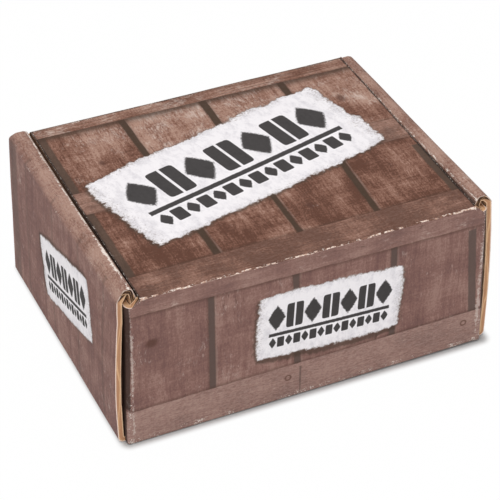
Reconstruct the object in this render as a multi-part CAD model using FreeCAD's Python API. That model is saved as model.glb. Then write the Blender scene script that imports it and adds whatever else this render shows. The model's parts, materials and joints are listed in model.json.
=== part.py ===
import FreeCAD, Part
import math
import os

# A mailing box folded from one die-cut sheet of corrugated board, in millimetres.
# The origin is the middle of the underside. +X runs along the two long walls, +Y faces the wall
# that carries the lid, -Y faces the wall that the lid tucks behind, and +Z is up.

Vector = FreeCAD.Vector

# ---- the sheet and its folds ----
board = 3.0                  # thickness of the board
fold_radius = 3.2            # outside of a square fold
crease_radius = 1.8          # outside of the two tight folds along a rolled top
inside_radius = 0.3          # inside of every fold
ply_gap = 0.4                # air between plies that lie together

# ---- the tray ----
wall_length = 200.0          # long wall at its foot, outside its corner folds
body_depth = 158.0           # outside of the front wall to outside of the back wall
lid_height = 89.5            # underside of the tray to the top of the closed lid
lean_in = 2.7                # how far each end has leant in at the lid's height
front_edge_drop = 0.2        # front wall's cut edge below the lid's underside
corner_dip = 4.0             # how far a corner flap ends below the lid's top
flap_length = 66.0           # corner flap, from the outside of its wall
flap_chamfer = 10.0          # cut corners at a flap's free end
stub_height = 1.2            # where a corner fold starts above the underside

# ---- the rolled end walls ----
end_gap = 0.5                # end wall's cut edge to the inside of a long wall
shoulder_drop = 1.0          # where the outer ply turns in, below the lid's top
roll_inner_run = 2.0         # how far the roll's inner slope leans in
bow_share = 0.85             # share of the outer ply's height that its bow takes
tab_width = 24.0             # locking tab under the inner ply
tab_spacing = 76.0           # between the middles of the two tabs of one end
tab_recess = 0.5             # tab's tip above the underside
slot_gap = 0.4               # air all round a tab in its slot

# ---- the lid ----
side_slot = 0.8              # open line between the lid and a rolled end
lid_end_gap = 0.3            # lid's end to the shoulder of the back wall beside it
tuck_gap = 0.4               # lid's front fold to the inside of the front wall
flap_drop = 38.0             # height of the tuck flap
flap_inset = 3.0             # flap is narrower than the lid by this at each end
flap_corner = 15.0           # rounded corners of the flap
crush = 0.9                  # half the thickness of the pressed crease that the lid swings on
hinge_gap = 0.3              # air under and in front of that crease

# How each rolled end has sprung: the bow of its outer ply, and how far its top stands over the lid,
# at the front and at the back of the box.
rolled_ends = [
    {"side": 1, "bow_front": 0.4, "bow_back": 1.9, "rise_front": 1.2, "rise_back": 5.0},
    {"side": -1, "bow_front": 0.3, "bow_back": 1.2, "rise_front": 1.0, "rise_back": 3.2},
]

# ---- sizes that follow from the ones above ----
half_depth = body_depth / 2
half_length = wall_length / 2
end_outside = half_length + ply_gap + board          # outer face of a rolled end at its foot
ply_inside = half_length - 2 * board - ply_gap       # inner face of its inner ply at the foot
ply_foot = board + ply_gap                           # where plies end above the floor panel
shoulder_height = lid_height - shoulder_drop
roll_flat = 1.4 * board                              # flat along the roll's top
flap_top = lid_height - corner_dip
lid_half = ply_inside - lean_in - side_slot
hinge_y = half_depth - crush
hinge_z = lid_height - crush
back_wall_top = lid_height - 2 * crush - hinge_gap
front_wall_top = lid_height - board - front_edge_drop
swing_radius = hinge_y + half_depth - board - tuck_gap
end_half = half_depth - board - end_gap              # half the length of a rolled end


def lean(height):
    # How far the ends have leant in at a height.
    return lean_in * height / lid_height


def direction(start, end):
    length = math.hypot(end[0] - start[0], end[1] - start[1])
    return ((end[0] - start[0]) / length, (end[1] - start[1]) / length)


def turn_at(points, index):
    # Directions into and out of a corner, and the angle turned left there.
    before = direction(points[index - 1], points[index])
    after = direction(points[index], points[index + 1])
    sine = before[0] * after[1] - before[1] * after[0]
    cosine = before[0] * after[0] + before[1] * after[1]
    return before, after, math.atan2(sine, cosine)


def left_offset(points, distance):
    # The bent line that runs beside another one, at a distance to its left.
    shifted = []
    for index in range(len(points)):
        if index == 0:
            along, turn = direction(points[0], points[1]), 0.0
        elif index == len(points) - 1:
            along, turn = direction(points[-2], points[-1]), 0.0
        else:
            along, _, turn = turn_at(points, index)
        angle = math.atan2(along[1], along[0]) + turn / 2 + math.pi / 2
        reach = distance / math.cos(turn / 2)
        u = points[index][0] + reach * math.cos(angle)
        v = points[index][1] + reach * math.sin(angle)
        shifted.append((u, v))
    return shifted


def keep_apart(inner, outer, least):
    # Inside a tight fold the board is pressed together, so no stretch of its inner face is
    # shorter than this.
    for index in range(1, len(inner) - 2):
        along = direction(outer[index], outer[index + 1])
        start, end = inner[index], inner[index + 1]
        length = (end[0] - start[0]) * along[0] + (end[1] - start[1]) * along[1]
        if length < least:
            u = (start[0] + end[0]) / 2
            v = (start[1] + end[1]) / 2
            inner[index] = (u - along[0] * least / 2, v - along[1] * least / 2)
            inner[index + 1] = (u + along[0] * least / 2, v + along[1] * least / 2)
    return inner


def rounded_line(points, radii, place):
    # Edges along a bent line, with an arc at each of its corners.
    edges = []
    start = place(*points[0])
    for index in range(1, len(points) - 1):
        before, after, turn = turn_at(points, index)
        radius = radii[index - 1]
        cut = radius * abs(math.tan(turn / 2))
        bulge = radius / math.cos(turn / 2) - radius
        inward = direction(before, after)
        u, v = points[index]
        arc_start = place(u - cut * before[0], v - cut * before[1])
        arc_middle = place(u + bulge * inward[0], v + bulge * inward[1])
        arc_end = place(u + cut * after[0], v + cut * after[1])
        if arc_start.distanceToPoint(start) > 1e-6:
            edges.append(Part.makeLine(start, arc_start))
        edges.append(Part.Arc(arc_start, arc_middle, arc_end).toShape())
        start = arc_end
    end = place(*points[-1])
    if end.distanceToPoint(start) > 1e-6:
        edges.append(Part.makeLine(start, end))
    return edges


def board_section(points, radii, place):
    # Outline of a folded piece of board, seen on its cut edge. The points follow its outer face,
    # and the board lies to their left.
    inner_points = keep_apart(left_offset(points, board), points, 3 * inside_radius)
    inner_radii = [max(radius - board, inside_radius) for radius in radii]
    outer = rounded_line(points, radii, place)
    inner = rounded_line(inner_points[::-1], inner_radii[::-1], place)
    start_cap = Part.makeLine(place(*inner_points[0]), place(*points[0]))
    end_cap = Part.makeLine(place(*points[-1]), place(*inner_points[-1]))
    return Part.Wire(outer + [end_cap] + inner + [start_cap])


def prism(wire, travel):
    return Part.Face(wire).extrude(travel)


def outline_prism(points, travel):
    # Straight-sided outline given by its 3-D corners, pushed along a direction.
    return prism(Part.makePolygon(points + [points[0]]), travel)


def floor_panel():
    half_x = half_length - fold_radius
    half_y = half_depth - fold_radius
    return Part.makeBox(2 * half_x, 2 * half_y, board, Vector(-half_x, -half_y, 0))


# ---- long walls ----

def long_wall(side_y, top):
    # Wall and its square fold to the floor, as long as the wall's flat part.
    flat_half = half_length - fold_radius

    def place(u, v):
        return Vector(-flat_half, side_y * u, v)

    section = board_section([(half_depth / 2, 0), (half_depth, 0), (half_depth, top)], [fold_radius], place)
    return prism(section, Vector(2 * flat_half, 0, 0))


def wall_outline(edge_height, shoulder):
    # What is left of a long wall's height along its length: its ends lean in with the corner
    # folds, and its cut edge drops to the corner flaps beside the lid.
    flat_half = half_length - fold_radius
    beside_lid = lid_half + lid_end_gap
    right = [
        (flat_half - lean(-1), -1.0),
        (flat_half - lean(flap_top), flap_top),
        (beside_lid, shoulder),
        (beside_lid, edge_height),
    ]
    left = [(-x, z) for x, z in right[::-1]]
    corners = [Vector(x, -body_depth, z) for x, z in right + left]
    return outline_prism(corners, Vector(0, 2 * body_depth, 0))


def corner_strip(side_x, side_y, low, high, depth):
    # Corner fold with what follows it of the corner flap, leaning in with the end wall.
    def place(u, v):
        return Vector(side_x * (u - lean(low)), side_y * v, low)

    overlap = 1.0
    path = [(half_length, half_depth - depth), (half_length, half_depth),
            (half_length - fold_radius - overlap, half_depth)]
    travel = Vector(-side_x * (lean(high) - lean(low)), 0, high - low)
    return prism(board_section(path, [fold_radius], place), travel)


def flap_outline(side_y):
    # Side view of a corner flap, with its free end's corners cut off.
    near = half_depth + 1.0
    far = half_depth - flap_length
    outline = [
        (near, ply_foot),
        (far + flap_chamfer, ply_foot),
        (far, ply_foot + flap_chamfer),
        (far, flap_top - flap_chamfer),
        (far + flap_chamfer, flap_top),
        (near, flap_top),
    ]
    corners = [Vector(-wall_length, side_y * y, z) for y, z in outline]
    return outline_prism(corners, Vector(2 * wall_length, 0, 0))


def corner_flap(side_x, side_y):
    strip = corner_strip(side_x, side_y, ply_foot, flap_top, flap_length)
    stub = corner_strip(side_x, side_y, stub_height, ply_foot, fold_radius)
    return strip.common(flap_outline(side_y)).fuse(stub)


# ---- rolled ends ----

def roll_section(end, y, bow, rise):
    # Floor edge, outer ply, rolled top and inner ply of one end, cut at y.
    def place(u, v):
        return Vector(end["side"] * u, y, v)

    bow_height = shoulder_height / 2
    bow_corner = bow / (1 - bow_share / 2)
    bow_radius = bow_share * bow_height ** 2 / bow_corner
    inner_crease = ply_inside - lean(shoulder_height) + roll_inner_run
    path = [
        (half_length / 2, 0),
        (end_outside, 0),
        (end_outside - lean(bow_height) + bow_corner, bow_height),
        (end_outside - lean(shoulder_height), shoulder_height),
        (inner_crease + roll_flat, lid_height + rise),
        (inner_crease, lid_height + rise),
        (ply_inside - lean(shoulder_height), shoulder_height),
        (ply_inside - lean(ply_foot), ply_foot),
    ]
    radii = [fold_radius, bow_radius, fold_radius, crease_radius, crease_radius, fold_radius]
    return board_section(path, radii, place)


def locking_tab(end, middle_y):
    # Tab that carries the inner ply down through the floor.
    def place(u, v):
        return Vector(end["side"] * u, middle_y - tab_width / 2, v)

    root = 3 * board
    path = [(ply_inside - lean(root), root), (ply_inside - lean(tab_recess), tab_recess)]
    return prism(board_section(path, [], place), Vector(0, tab_width, 0))


def tab_slot(end, middle_y):
    width = board + 2 * slot_gap + lean(board)
    low_x = ply_inside - lean(board) - slot_gap
    corner_x = low_x if end["side"] > 0 else -low_x - width
    corner = Vector(corner_x, middle_y - tab_width / 2 - slot_gap, -1.0)
    return Part.makeBox(width, tab_width + 2 * slot_gap, 1.0 + board + ply_gap / 2, corner)


def rolled_end(end):
    back = roll_section(end, end_half, end["bow_back"], end["rise_back"])
    front = roll_section(end, -end_half, end["bow_front"], end["rise_front"])
    return Part.makeLoft([front, back], True, True)


# ---- the two nodes ----

def build_tray():
    front_shape = wall_outline(front_wall_top, front_wall_top)
    back_shape = wall_outline(back_wall_top, lid_height - hinge_gap)
    pieces = [
        long_wall(-1, front_wall_top).common(front_shape),
        long_wall(1, lid_height).common(back_shape),
    ]
    for side_x in (-1, 1):
        for side_y in (-1, 1):
            pieces.append(corner_flap(side_x, side_y))
    tabs = []
    slots = []
    for end in rolled_ends:
        pieces.append(rolled_end(end))
        for middle_y in (-tab_spacing / 2, tab_spacing / 2):
            tabs.append(locking_tab(end, middle_y))
            slots.append(tab_slot(end, middle_y))
    tray = floor_panel().multiFuse(pieces).cut(Part.makeCompound(slots))
    return tray.multiFuse(tabs).removeSplitter()


def lid_outline():
    # Front view of the lid with its tuck flap, whose lower corners are rounded.
    flap_half = lid_half - flap_inset
    step = lid_height - board - fold_radius
    tip = lid_height - flap_drop - board

    def place(u, v):
        return Vector(u, -body_depth, v)

    path = [(-flap_half, step), (-flap_half, tip), (flap_half, tip), (flap_half, step)]
    lower = rounded_line(path, [flap_corner, flap_corner], place)
    upper_path = [(flap_half, step), (lid_half, step), (lid_half, lid_height + 1),
                  (-lid_half, lid_height + 1), (-lid_half, step), (-flap_half, step)]
    upper = Part.makePolygon([place(u, v) for u, v in upper_path]).Edges
    return prism(Part.Wire(lower + upper), Vector(0, 2 * body_depth, 0))


def pressed_crease():
    # The lid's thin round edge, which turns about the line through its own middle.
    root = half_depth - 2 * board
    low_z = lid_height - 2 * crush
    x = -lid_half
    nose = Part.Arc(Vector(x, hinge_y, lid_height), Vector(x, half_depth, hinge_z), Vector(x, hinge_y, low_z))
    edges = [
        Part.makeLine(Vector(x, root, lid_height), Vector(x, hinge_y, lid_height)),
        nose.toShape(),
        Part.makeLine(Vector(x, hinge_y, low_z), Vector(x, root, low_z)),
        Part.makeLine(Vector(x, root, low_z), Vector(x, root, lid_height)),
    ]
    return prism(Part.Wire(edges), Vector(2 * lid_half, 0, 0))


def build_lid():
    # The flap's tip lies on the circle that the lid's front fold swings along, so the flap leans
    # in just enough to come out past the front wall.
    def place(u, v):
        return Vector(-lid_half, u, v)

    panel_back = half_depth - board - hinge_gap
    panel_front = hinge_y - swing_radius
    tip_z = lid_height - flap_drop
    tip_y = hinge_y - math.sqrt(swing_radius ** 2 - (hinge_z - tip_z) ** 2)
    path = [(panel_back, lid_height), (panel_front, lid_height), (tip_y, tip_z)]
    panel = prism(board_section(path, [fold_radius], place), Vector(2 * lid_half, 0, 0))
    return panel.common(lid_outline()).fuse(pressed_crease()).removeSplitter()


def write_parts():
    os.makedirs("parts", exist_ok=True)
    for name, shape in (("tray", build_tray()), ("lid", build_lid())):
        solid = shape.Solids[0]
        solid.exportStep("parts/" + name + ".step")
        print(name, len(shape.Solids), "solid,", round(solid.Volume), "mm3, valid", solid.isValid())


write_parts()
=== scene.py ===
import bpy
import bmesh
import json
import math
import numpy as np
from mathutils import Matrix, Vector, noise


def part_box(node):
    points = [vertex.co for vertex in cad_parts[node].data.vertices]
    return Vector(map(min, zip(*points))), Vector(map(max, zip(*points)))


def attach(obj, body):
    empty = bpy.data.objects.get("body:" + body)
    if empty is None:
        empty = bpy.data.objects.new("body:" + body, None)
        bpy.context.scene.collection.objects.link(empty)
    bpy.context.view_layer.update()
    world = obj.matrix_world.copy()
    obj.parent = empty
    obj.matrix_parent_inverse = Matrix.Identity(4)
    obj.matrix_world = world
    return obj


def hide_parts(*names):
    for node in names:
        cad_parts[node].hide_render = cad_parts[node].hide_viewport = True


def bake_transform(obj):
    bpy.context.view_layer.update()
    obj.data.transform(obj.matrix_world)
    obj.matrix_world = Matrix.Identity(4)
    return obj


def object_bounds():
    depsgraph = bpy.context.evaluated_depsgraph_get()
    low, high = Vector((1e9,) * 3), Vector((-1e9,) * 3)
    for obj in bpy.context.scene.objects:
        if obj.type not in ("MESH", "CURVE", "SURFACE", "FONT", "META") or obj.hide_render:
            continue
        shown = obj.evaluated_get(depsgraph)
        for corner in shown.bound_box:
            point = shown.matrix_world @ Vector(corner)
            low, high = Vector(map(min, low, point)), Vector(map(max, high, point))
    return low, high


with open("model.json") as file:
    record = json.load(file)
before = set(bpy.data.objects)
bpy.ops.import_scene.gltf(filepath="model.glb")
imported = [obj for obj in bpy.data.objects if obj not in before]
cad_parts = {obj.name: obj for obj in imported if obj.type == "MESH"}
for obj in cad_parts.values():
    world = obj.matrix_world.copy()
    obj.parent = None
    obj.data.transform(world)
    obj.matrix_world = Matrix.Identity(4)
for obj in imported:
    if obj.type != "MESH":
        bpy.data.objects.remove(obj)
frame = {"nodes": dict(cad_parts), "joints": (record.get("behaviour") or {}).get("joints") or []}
# the vector noise that waves the board starts from a random state
waveSeed = 5
noise.seed_set(waveSeed)
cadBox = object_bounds()
print("frame loaded:", ", ".join(sorted(frame["nodes"])))

mm = 0.001
hingePoint = Vector(frame["joints"][0]["pos_m"])
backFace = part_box("tray")[1].y
lidLow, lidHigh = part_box("lid")
lidEdge = lidHigh.x / mm
creaseRadius = backFace - hingePoint.y
bendLength = creaseRadius / mm * math.pi / 2

# the board, in millimetres, with smoothAngle and softFold in degrees; flatDot and facingDot say from
# which product of two directions on faces lie flat together, or look a given way
board = {
    "linerEdge": 0.42, "foldRadius": 3.2, "flutePitch": 6.3, "cellSize": 6.0,
    "wobble": 0.32, "wobbleLength": 55.0, "ripple": 0.06, "rippleLength": 14.0,
    "insideBox": 0.06, "smoothAngle": 40, "softFold": 74, "flatDot": 0.9995, "facingDot": 0.999,
    "wobblePlace": (4.1, 2.7, 9.3), "mergeWithin": 0.002, "sliceWithin": 0.01,
    "printedWithin": 0.5, "plainWithin": 4,
}

# places on the flat sheet, in millimetres, printed side up: the floor panel's middle is at (0, 0),
# the hinge wall lies above it and the lid above that, so x on the box runs to the left
foldSave = (2 - math.pi / 2) * board["foldRadius"]
wallFoot = backFace / mm - foldSave
creaseAt = wallFoot + hingePoint.z / mm
lidZero = creaseAt + bendLength + hingePoint.y / mm
endFoot = 103.4 - foldSave
rollLip = 201.0


def onLid(x, y):
    return (-x, lidZero - y)


def onHingeWall(x, z):
    return (-x, wallFoot + z)


def onFrontWall(x, z):
    return (-x, -wallFoot - z)


def onEnd(side, y, z):
    return (-side * (endFoot + z), y)


def colour(red, green, blue):
    # screen values from 0 to 255, to the linear ones that a material holds
    def linear(value):
        value = value / 255
        return value / 12.92 if value <= 0.04045 else ((value + 0.055) / 1.055) ** 2.4
    return (linear(red), linear(green), linear(blue), 1.0)


# helpers for node trees
def put(tree, kind, inputs=None, **settings):
    node = tree.nodes.new(kind)
    for name, value in settings.items():
        setattr(node, name, value)
    for key, value in (inputs or {}).items():
        if isinstance(value, bpy.types.NodeSocket):
            tree.links.new(value, node.inputs[key])
        else:
            node.inputs[key].default_value = value
    return node


def sums(tree, operation, first, second=0.0, third=0.0):
    return put(tree, "ShaderNodeMath", {0: first, 1: second, 2: third}, operation=operation).outputs[0]


def nudge(tree, start, field, reach, middle=0.5):
    # start, moved either way by a field of noise
    return sums(tree, "MULTIPLY_ADD", sums(tree, "SUBTRACT", field, middle), reach, start)


def step(tree, value, low, high, start=0.0, end=1.0):
    # smooth ramp from start to end as value goes from low to high
    return put(tree, "ShaderNodeMapRange", {0: value, 1: low, 2: high, 3: start, 4: end},
               interpolation_type="SMOOTHSTEP").outputs[0]


def vectors(tree, operation, first, second=(0, 0, 0)):
    return put(tree, "ShaderNodeVectorMath", {0: first, 1: second}, operation=operation).outputs


def joined(tree, x=0.0, y=0.0, z=0.0):
    return put(tree, "ShaderNodeCombineXYZ", {0: x, 1: y, 2: z}).outputs[0]


def parted(tree, vector):
    return put(tree, "ShaderNodeSeparateXYZ", {0: vector}).outputs


def fromMap(tree, name):
    return put(tree, "ShaderNodeUVMap", uv_map=name).outputs[0]


def grain(tree, vector, scale, detail=4.0, rough=0.55, place=(0, 0, 0), stretch=(1, 1, 1)):
    moved = put(tree, "ShaderNodeMapping", {"Vector": vector, "Location": place, "Scale": stretch})
    texture = put(tree, "ShaderNodeTexNoise",
                  {"Vector": moved.outputs[0], "Scale": scale, "Detail": detail, "Roughness": rough})
    return texture.outputs["Fac"]


def over(tree, below, above, mask):
    return put(tree, "ShaderNodeMix", {0: mask, 6: below, 7: above}, data_type="RGBA").outputs[2]


def newMaterial(name):
    material = bpy.data.materials.new(name)
    material.use_nodes = True
    return material, material.node_tree, material.node_tree.nodes["Principled BSDF"].inputs


def newGroup(name, inputs, outputs):
    group = bpy.data.node_groups.new(name, "ShaderNodeTree")
    for label, kind in inputs:
        group.interface.new_socket(label, in_out="INPUT", socket_type="NodeSocket" + kind)
    for label, kind in outputs:
        group.interface.new_socket(label, in_out="OUTPUT", socket_type="NodeSocket" + kind)
    return group, group.nodes.new("NodeGroupInput").outputs, group.nodes.new("NodeGroupOutput").inputs


# camera, lights and floor
camera = {
    "azimuth": 155.29, "elevation": 37.54, "roll": 0.49, "distance": 1.0801,
    "aim": (0.00256, 0.01128, 0.044), "lens": 149.91, "sensor": 36, "farthest": 20,
}


def addCamera():
    azimuth, elevation = math.radians(camera["azimuth"]), math.radians(camera["elevation"])
    back = Vector((math.sin(azimuth) * math.cos(elevation),
                   -math.cos(azimuth) * math.cos(elevation), math.sin(elevation)))
    right = (-back).cross(Vector((0, 0, 1))).normalized()
    up = right.cross(-back)
    roll = Matrix.Rotation(math.radians(camera["roll"]), 3, "Z")
    turn = Matrix((right, up, back)).transposed() @ roll
    data = bpy.data.cameras.new("view")
    data.sensor_width = camera["sensor"]
    data.lens = camera["lens"]
    data.clip_end = camera["farthest"]
    viewer = bpy.data.objects.new("view", data)
    place = Vector(camera["aim"]) + back * camera["distance"]
    viewer.matrix_world = Matrix.Translation(place) @ turn.to_4x4()
    bpy.context.scene.collection.objects.link(viewer)
    bpy.context.scene.camera = viewer


# sizes in metres; the shadow's outline is drawn in from the box's own, and past it the floor glows
studio = {
    "worldLevel": 0.58, "lampAim": (0, 0, 0.04), "white": (1, 1, 1, 1),
    "top": {"place": (0.25, 0.2, 1.6), "size": 1.5, "power": 12.6},
    "front": {"place": (0.9, 1.7, 1.0), "size": 1.2, "power": 8.4},
    "floorSize": 6.0, "floorBelow": 0.0002, "floorNear": 0.36, "floorFar": 0.9,
    "glowNear": 0.0, "glowFar": 0.985, "glowStart": 0.0028, "glowReach": 0.0074,
    "shadowNarrow": 0.0057, "shadowAside": 0.0014, "shadowShort": 0.0024,
}


def addLight(name, place, size, power):
    data = bpy.data.lights.new(name, "AREA")
    data.shape = "DISK"
    data.size = size
    data.energy = power
    lamp = bpy.data.objects.new(name, data)
    lamp.location = place
    aim = Vector(studio["lampAim"]) - Vector(place)
    lamp.rotation_euler = aim.to_track_quat("-Z", "Y").to_euler()
    bpy.context.scene.collection.objects.link(lamp)


def seenDirectly(tree):
    # 1 where the camera, a reflection or a clear thing looks at this, and 0 where it only gives light
    path = put(tree, "ShaderNodeLightPath").outputs
    seen = sums(tree, "MAXIMUM", path["Is Camera Ray"], path["Is Glossy Ray"])
    return sums(tree, "MAXIMUM", seen, path["Is Transmission Ray"])


def addWorld():
    world = bpy.data.worlds.new("studio")
    bpy.context.scene.world = world
    world.use_nodes = True
    tree = world.node_tree
    background = tree.nodes["Background"].inputs
    background["Color"].default_value = studio["white"]
    level = put(tree, "ShaderNodeMapRange", {0: seenDirectly(tree), 3: studio["worldLevel"], 4: 1.0})
    tree.links.new(level.outputs[0], background["Strength"])


def makeFloorWhite():
    # the floor near the box keeps its shadow, with a painted shadow darkening its colour close to the box,
    # and further out it runs into the white around it
    material = bpy.data.materials.new("floorWhite")
    material.use_nodes = True
    tree = material.node_tree
    tree.nodes.clear()
    outline = (cadBox[1][0] - studio["shadowNarrow"], cadBox[1][1] - studio["shadowShort"], 0)
    place = put(tree, "ShaderNodeTexCoord").outputs["Object"]
    for operation, amount in (("ADD", (studio["shadowAside"], 0, 0)), ("ABSOLUTE", (0, 0, 0)),
                              ("SUBTRACT", outline), ("MAXIMUM", (0, 0, 0))):
        place = vectors(tree, operation, place, amount)[0]
    away = vectors(tree, "LENGTH", place)["Value"]
    glowing = step(tree, away, studio["glowStart"], studio["glowReach"],
                   studio["glowNear"], studio["glowFar"])
    # painted shadow: the floor's colour is darker near the box
    paintedShadow = put(tree, "ShaderNodeMapRange",
               {0: away, 2: studio["glowReach"], 3: studio["floorNear"], 4: studio["floorFar"]})
    matt = put(tree, "ShaderNodeBsdfDiffuse", {"Color": paintedShadow.outputs[0]})
    glow = put(tree, "ShaderNodeEmission", {"Color": studio["white"]})
    share = sums(tree, "MULTIPLY", seenDirectly(tree), glowing)
    mix = put(tree, "ShaderNodeMixShader", {0: share, 1: matt.outputs[0], 2: glow.outputs[0]})
    put(tree, "ShaderNodeOutputMaterial", {"Surface": mix.outputs[0]})
    return material


def addFloor():
    bm = bmesh.new()
    bmesh.ops.create_grid(bm, x_segments=2, y_segments=2, size=studio["floorSize"] / 2)
    mesh = bpy.data.meshes.new("floor")
    bm.to_mesh(mesh)
    bm.free()
    mesh.materials.append(makeFloorWhite())
    floor = bpy.data.objects.new("floor", mesh)
    floor.location.z = cadBox[0][2] - studio["floorBelow"]
    bpy.context.scene.collection.objects.link(floor)


addCamera()
addWorld()
for lampName in ("top", "front"):
    addLight(lampName, **studio[lampName])
addFloor()
bpy.context.scene.view_settings.view_transform = "Standard"
print("camera, lights and floor set")


def makePatchGroup():
    # a turned rectangle, 1 inside and 0 outside, with a soft edge that roughens with the input
    names = ["U", "V", "Cos", "Sin", "MidU", "MidV", "HalfU", "HalfV", "Soft", "Rough"]
    group, given, result = newGroup("patch", [(name, "Float") for name in names],
                                    [("Mask", "Float"), ("LocalU", "Float"), ("LocalV", "Float")])
    negative = sums(group, "MULTIPLY", given["Sin"], -1.0)
    across = sums(group, "MULTIPLY", given["U"], given["Cos"])
    across = sums(group, "MULTIPLY_ADD", given["V"], given["Sin"], across)
    across = sums(group, "SUBTRACT", across, given["MidU"])
    up = sums(group, "MULTIPLY", given["V"], given["Cos"])
    up = sums(group, "MULTIPLY_ADD", given["U"], negative, up)
    up = sums(group, "SUBTRACT", up, given["MidV"])
    pastU = sums(group, "SUBTRACT", sums(group, "ABSOLUTE", across), given["HalfU"])
    pastV = sums(group, "SUBTRACT", sums(group, "ABSOLUTE", up), given["HalfV"])
    outside = sums(group, "ADD", sums(group, "MAXIMUM", pastU, pastV), given["Rough"])
    low = sums(group, "MULTIPLY", given["Soft"], -1.0)
    group.links.new(step(group, outside, low, given["Soft"], 1.0, 0.0), result["Mask"])
    group.links.new(across, result["LocalU"])
    group.links.new(up, result["LocalV"])
    return group


patchGroup = makePatchGroup()


def patch(tree, place, centre, size, turn=0.0, soft=0.25, rough=0.0):
    cos, sin = math.cos(math.radians(turn)), math.sin(math.radians(turn))
    values = {"U": place[0], "V": place[1], "Cos": cos, "Sin": sin,
              "MidU": centre[0] * cos + centre[1] * sin, "MidV": centre[1] * cos - centre[0] * sin,
              "HalfU": size[0] / 2, "HalfV": size[1] / 2, "Soft": soft, "Rough": rough}
    result = put(tree, "ShaderNodeGroup", values, node_tree=patchGroup).outputs
    return result["Mask"], (result["LocalU"], result["LocalV"])


# weathered wood; a field of noise is given as scale, detail, roughness, place and stretch,
# and what ends in From as the low and high ends of a ramp, with the strengths at both ends
wood = {
    "dark": colour(90, 57, 44), "middle": colour(128, 90, 75), "light": colour(175, 141, 125),
    "bleached": colour(212, 192, 181), "crack": colour(62, 40, 32), "mauve": colour(130, 100, 98),
    "warp": (0.05, 3, 0.5, (3, 8, 0)), "bend": 5.0,
    "cloud": (0.05, 4, 0.55, (17, 4, 2)), "cloudShare": 0.75,
    "layers": [
        {"share": 0.50, "field": (1.0, 5, 0.66, (11, 2, 9), (0.3, 0.016, 1))},
        {"share": 0.40, "field": (1.0, 6, 0.66, (0, 0, 5), (1.1, 0.08, 1))},
        {"share": 0.28, "field": (1.0, 4, 0.66, (2, 8, 3), (0.07, 0.75, 1))},
        {"share": 0.62, "field": (1.0, 4, 0.66, (5, 1, 1), (1.3, 0.8, 1))},
    ],
    "middleFrom": (1.10, 1.32), "lightFrom": (1.26, 1.52, 0.0, 0.85), "mauveShare": 0.5,
    "fleck": (1.0, 5, 0.78, (9, 2, 6), (0.8, 0.24, 1)),
    "faded": (0.07, 4, 0.6, (9, 9, 3)), "fadedShare": 0.8, "bleachedFrom": (0.92, 1.22, 0.0, 0.7),
    "line": (1.0, 2, 0.5, (31, 7, 0), (0.22, 0.012, 1)), "lineFrom": (0.0, 0.006, 1.0, 0.0),
    "crackedFrom": (0.45, 0.6), "crackShare": 0.6,
}


def makeWoodGroup():
    # wood whose grain runs along the second coordinate
    group, given, result = newGroup(
        "weatheredWood", [("Vector", "Vector"), ("Tone", "Float"), ("Bleach", "Float"), ("Mauve", "Float")],
        [("Color", "Color")])
    vector = given["Vector"]
    warp = grain(group, vector, *wood["warp"])
    bent = vectors(group, "ADD", vector, joined(group, nudge(group, 0.0, warp, wood["bend"])))[0]
    cloud = grain(group, vector, *wood["cloud"])
    tone = sums(group, "MULTIPLY_ADD", cloud, wood["cloudShare"], given["Tone"])
    for layer in wood["layers"]:
        tone = sums(group, "MULTIPLY_ADD", grain(group, bent, *layer["field"]), layer["share"], tone)
    shade = over(group, wood["dark"], wood["middle"], step(group, tone, *wood["middleFrom"]))
    shade = over(group, shade, wood["light"], step(group, tone, *wood["lightFrom"]))
    shade = over(group, shade, wood["mauve"], sums(group, "MULTIPLY", given["Mauve"], wood["mauveShare"]))
    faded = grain(group, vector, *wood["faded"])
    bleach = sums(group, "MULTIPLY_ADD", faded, wood["fadedShare"], given["Bleach"])
    bleach = sums(group, "ADD", bleach, grain(group, bent, *wood["fleck"]))
    shade = over(group, shade, wood["bleached"], step(group, bleach, *wood["bleachedFrom"]))
    line = sums(group, "ABSOLUTE", sums(group, "SUBTRACT", grain(group, bent, *wood["line"]), 0.5))
    crack = sums(group, "MULTIPLY", step(group, line, *wood["lineFrom"]),
                 step(group, warp, *wood["crackedFrom"]))
    shade = over(group, shade, wood["crack"], sums(group, "MULTIPLY", crack, wood["crackShare"]))
    group.links.new(shade, result["Color"])
    return group


woodGroup = makeWoodGroup()

# the crate print's own tints; fold and slot are painted shade, for the dark of folds that turn away from the
# light and of the slots beside the lid
crate = {
    "lidGap": colour(66, 50, 38), "wallGap": colour(91, 74, 68), "gapEdge": colour(70, 50, 40),
    "railShade": colour(72, 50, 40), "railLight": colour(186, 160, 148), "band": colour(76, 61, 51),
    "wallBand": colour(92, 76, 70), "fold": colour(52, 36, 30), "slot": colour(30, 22, 17),
    "nail": colour(96, 66, 56), "knot": colour(82, 52, 42), "shadow": colour(70, 54, 44),
    "chip": colour(238, 226, 216),
}

# gaps between the planks: middle, width, lean in degrees; the lid has two rows of planks
gaps = {
    "lidFar": [(42.8, 3.5, 0.9), (-2.5, 4.0, -0.8), (-48.0, 4.2, -1.0)],
    "lidNear": [(42.9, 3.5, 0.2), (-1.7, 2.9, -0.5), (-45.0, 3.2, -3.4)],
    "wall": [(53.6, 3.1, 0.6), (7.9, 3.4, 2.1), (-45.4, 3.3, 1.8)],
    "end": [(-50.0, 1.6, 0.0), (-12.0, 1.4, 0.4), (24.0, 1.4, -0.3), (58.0, 1.6, 0.0)],
}


def cover(art, tint, mask):
    art["paint"] = over(art["tree"], art["paint"], tint, mask)


def paintBox(art, centre, size, tint, turn=0.0, soft=0.35, strength=1.0, rough=None):
    # a painted rectangle, whose edge wanders a little unless rough says how it goes
    rough = art["wander"] if rough is None else rough
    mask, __ = patch(art["tree"], art["place"], centre, size, turn, soft, rough)
    cover(art, tint, sums(art["tree"], "MULTIPLY", mask, strength))


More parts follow.
